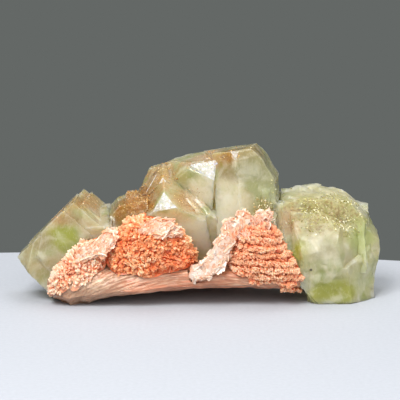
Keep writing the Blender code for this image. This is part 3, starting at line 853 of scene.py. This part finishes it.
PEARL = pearly()
PLATE_SPACING = 0.62  # mm, also for the needles
FANS = {
    # node: the piece's name, and which way its blades point
    "stilbite_blades_left": ("blades_left", (0.8, 0.0, 0.6)),
    "stilbite_blades_top": ("blades_top", (0.9, 0.1, 0.3)),
    "stilbite_blades_centre": ("blades_centre", (0.6, 0.0, 0.8)),
    "stilbite_blades_right": ("blades_right", (0.5, 0.0, 0.85)),
}
for k, (node, (name, grain)) in enumerate(FANS.items()):
    shape = refined(node, 1.0, 30.0)
    places, normals, _ = arrays(shape)
    places = places - normals * (0.7 + 0.2 * noise(places, 1.5, k))[:, None]
    bed = [[v.index for v in f.verts] for f in shape.faces]
    shape.free()
    rng = np.random.default_rng(60 + k)
    points, out = sprinkle(node, PLATE_SPACING, 70 + k)
    keep = ~covered(points, out, node)
    points, out = points[keep], out[keep]
    count = len(points)
    small = rng.random(count) < 0.2 + 0.5 * (noise(points, 2.5, 61) > 0.1)
    grain = np.array(grain) + np.where(small, 0.9, 0.3)[:, None] * rng.normal(size=(count, 3))
    flat = unit(grain - out * np.sum(grain * out, axis=1, keepdims=True))
    along = unit(flat + np.where(small, 0.7, 0.2)[:, None] * out)
    across = np.cross(along, out)
    size = np.where(small, 0.45 + 0.3 * rng.random(count), 0.7 + 0.6 * rng.random(count))
    sizes = np.stack([1.2 * size, 0.24 * size, 2.2 * size], 1)
    start = points - along * (1.1 * size)[:, None] - out * (0.45 + 0.1 * size)[:, None]
    plates, faces = copies(BLADE, BLADE_FACES, start, along, across, sizes)
    faces = [[i + len(places) for i in f] for f in faces]
    paleness = rng.random(count) * np.where(small, 0.5, 1.0)
    # the bed under the plates gets low numbers, so it is painted darker: painted shade under the
    # plates
    mesh = numpy_mesh(
        name,
        np.vstack([places, plates]),
        bed + faces,
        height=np.concatenate([np.full(len(places), 0.2), np.tile(BLADE[:, 2], count)]),
        shade=np.concatenate([np.full(len(places), 0.1), np.repeat(paleness, len(BLADE))]),
    )
    add_piece(name, mesh, PEARL, [node])

# %% [markdown]
# ## White needles
#
# Along the top of the right crust the last growth is a frost of white needles. They are the
# same small form again, made thin and long, and they stand up and out of the rim.

# %% Needles
FROST_LEFT, FROST_RIGHT = 20.5, 23.2  # the frost starts at these heights, lower on the left
FROST_TURN = 14.5  # where the one ends and the other begins, mm to the right
rims = []
for k, node in enumerate(["stilbite_crust_right", "stilbite_blades_right"]):
    points, out = sprinkle(node, PLATE_SPACING, 90 + k)
    lowest = np.where(points[:, 0] < FROST_TURN, FROST_LEFT, FROST_RIGHT)
    keep = (points[:, 2] > lowest) & (out[:, 1] < 0.4) & (noise(points, 3.0, 91) > -0.15)
    rims.append(np.hstack([points[keep], out[keep]]))
rim = np.vstack(rims)
rng = np.random.default_rng(92)
count = len(rim)
along = rim[:, 3:] * 0.8 + (0.0, -0.2, 0.9) + 0.35 * rng.normal(size=(count, 3))
thin = 0.14 + 0.1 * rng.random(count)
sizes = np.stack([thin, thin, 1.0 + 1.2 * rng.random(count)], 1)
places, faces = copies(
    BLADE, BLADE_FACES, rim[:, :3] - 0.5 * unit(along), along, rng.normal(size=(count, 3)), sizes
)
shade = np.repeat(0.7 + 0.3 * rng.random(count), len(BLADE))
mesh = numpy_mesh("white_needles", places, faces, shade=shade, height=shade)
add_piece("white_needles", mesh, PEARL)

# %% [markdown]
# ## The slab underneath
#
# Everything grew from a slab of stilbite whose blades are seen from the side. It is smooth and
# silky, with long fine lines that sag at both ends like a hammock turned over. Noise that is
# read on a bent and stretched position makes such lines, in the mesh and in the colour alike.


# %% The slab
SAG = 0.008  # how strongly the lines bend, per mm
STRETCH = (9.0, 1.1, 0.7)  # how far a line keeps its look along x, y and z, mm


def fibres(places):
    """Long ridges: noise at (x, y, z + sag * x^2), each axis divided by its stretch."""
    x, y, z = places.T
    bent = np.stack([x, y, z + SAG * x * x], 1) / STRETCH
    return noise(bent, 1.0, 51) * 0.6 + noise(bent, 0.45, 52) * 0.4


def slab_finish():
    look = Look("stilbite_silky")
    x, y, z = (look.axis(letter) for letter in "XYZ")
    z = z + x * x * SAG
    sockets = {"X": x * (1 / STRETCH[0]), "Y": y * (1 / STRETCH[1]), "Z": z * (1 / STRETCH[2])}
    bent = look.node("ShaderNodeCombineXYZ", {}, sockets)
    strands = look.noise(0.7, 4.0, 0.6, place=bent)
    broad = look.noise(2.4, 3.0, 0.5, place=bent)
    stops = [(0.3, tint(150, 88, 60)), (0.5, tint(184, 130, 100)), (0.72, tint(218, 184, 156))]
    colour = look.ramp(strands, stops)
    colour = look.mix(colour, tint(206, 122, 86), broad.between(0.48, 0.64) * 0.6)
    colour = look.mix(colour, tint(160, 112, 84), look.noise(6.0, 4.0).between(0.5, 0.66) * 0.5)
    # painted shade: the slab's left end is darkened towards beige-grey, standing in for the shadow
    # on it
    grey = look.near((-36, -14, 4), (16, 12, 8), strands - 0.5)
    colour = look.mix(colour, tint(160, 134, 110), grey * 0.6)
    cream = look.near((-26, -16, 9), (18, 14, 5), strands - 0.5)
    colour = look.mix(colour, tint(236, 206, 176), cream * strands.between(0.4, 0.6) * 0.7)
    normal = look.bump(strands, 0.25, 0.5)
    return look.surface(
        Base_Color=colour,
        Roughness=strands * 0.2 + 0.3,
        Normal=normal,
        Coat_Weight=0.15,
        Coat_Roughness=0.3,
        Subsurface_Weight=0.3,
        Subsurface_Radius=(1.0, 0.5, 0.3),
        Subsurface_Scale=1.5 * MM,
    )


shape = refined("stilbite_matrix", 0.8, 40.0)
places, normals, _ = arrays(shape)
depth = 0.3 + 0.35 * fibres(places) + 0.15 * noise(places, 2.5, 53)
depth[places[:, 2] < 0.05] = 0.0  # what stands on the table stays flat
places = inside_box(places - normals * depth[:, None])
mesh = bpy.data.meshes.new("slab")
shape.to_mesh(mesh)
shape.free()
mesh.vertices.foreach_set("co", (places * MM).astype(np.float32).ravel())
mesh.update()
add_piece("slab", mesh, slab_finish(), ["stilbite_matrix"])

# %% [markdown]
# ## Table, light and camera
#
# The specimen stands on a pale table in front of a plain grey room. One large soft light high
# at the front left lights the stone, and it stands exactly where the three-cornered crystal
# faces mirror it into the camera, so they flash white. Weaker lights from the right, from
# overhead and from the front keep the shadows soft.


# %% The table
def table_finish():
    look = Look("pale_table")
    weave = look.noise(1.2, 3.0)
    colour = look.mix(tint(169, 173, 181), tint(185, 189, 197), weave)
    return look.surface(Base_Color=colour, Roughness=weave * 0.1 + 0.75)


def table(middle, radius, thick, around):
    """A round top: a ring of points at middle + radius * (cos, sin), filled, given a thickness."""
    turn = np.linspace(0, 2 * math.pi, around, endpoint=False)
    ring = np.stack([np.cos(turn), np.sin(turn), 0 * turn], 1) * radius + middle
    mesh = bpy.data.meshes.new("table")
    mesh.from_pydata((ring * MM).tolist(), [], [list(range(around))])
    made = bpy.data.objects.new("table", mesh)
    bpy.context.scene.collection.objects.link(made)
    wall = made.modifiers.new("thickness", "SOLIDIFY")
    wall.thickness, wall.offset = thick * MM, -1.0
    mesh.materials.append(table_finish())
    return made


table((-40.0, -335.0, 0.0), 400.0, 20.0, 256)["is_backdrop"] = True

# %% Lights, room and camera
LOOK_AT = Vector((-0.2, 0.2, 29.3)) * MM


def lamp(name, towards, distance, size, watts, colour=(1, 1, 1)):
    """A square soft light in the given direction from the specimen, facing it."""
    data = bpy.data.lights.new(name, "AREA")
    data.size, data.energy, data.color = size, watts, colour
    made = bpy.data.objects.new(name, data)
    bpy.context.scene.collection.objects.link(made)
    made.location = LOOK_AT + Vector(towards).normalized() * distance
    made.rotation_mode = "QUATERNION"
    made.rotation_quaternion = Vector(towards).to_track_quat("Z", "Y")
    return made


lamp("window", (-0.30, -0.57, 0.76), 0.7, 0.34, 5.6, (1.0, 0.99, 0.98))
lamp("fill", (0.7, -0.6, 0.5), 0.9, 0.7, 3.4, (1.0, 0.98, 0.95))
lamp("overhead", (0.1, 0.25, 0.96), 0.8, 0.7, 4.0)
lamp("front", (-0.05, -1.0, 0.48), 0.95, 0.5, 2.2, (1.0, 0.985, 0.96))

world = bpy.data.worlds.new("grey_room")
world.use_nodes = True
world.node_tree.nodes["Background"].inputs["Color"].default_value = tint(100, 104, 102)
bpy.context.scene.world = world

lens = bpy.data.cameras.new("camera")
camera = bpy.data.objects.new("camera", lens)
bpy.context.scene.collection.objects.link(camera)
ELEVATION, DISTANCE = math.radians(10.0), 0.55
PIXEL, FRAME = 0.3 * MM, 400  # the size of a pixel at the specimen, and pixels across
back = Vector((0.0, -math.cos(ELEVATION), math.sin(ELEVATION)))
camera.location = LOOK_AT + back * DISTANCE
camera.rotation_mode = "QUATERNION"
camera.rotation_quaternion = back.to_track_quat("Z", "Y")
lens.sensor_width = 36.0
lens.lens = lens.sensor_width * DISTANCE / (FRAME * PIXEL)
lens.clip_start, lens.clip_end = 0.01, 10.0
bpy.context.scene.camera = camera
bpy.context.scene.view_settings.view_transform = "Standard"
print("lens mm:", round(lens.lens, 1))

# %% The sizes of the solids and of the pieces
boxes = {
    "cad": [c.tolist() for c in CAD_BOX],
    "visual": [list(c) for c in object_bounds()],
}
print("visual size mm:", [round((b - a) / MM, 2) for a, b in zip(*boxes["visual"])])
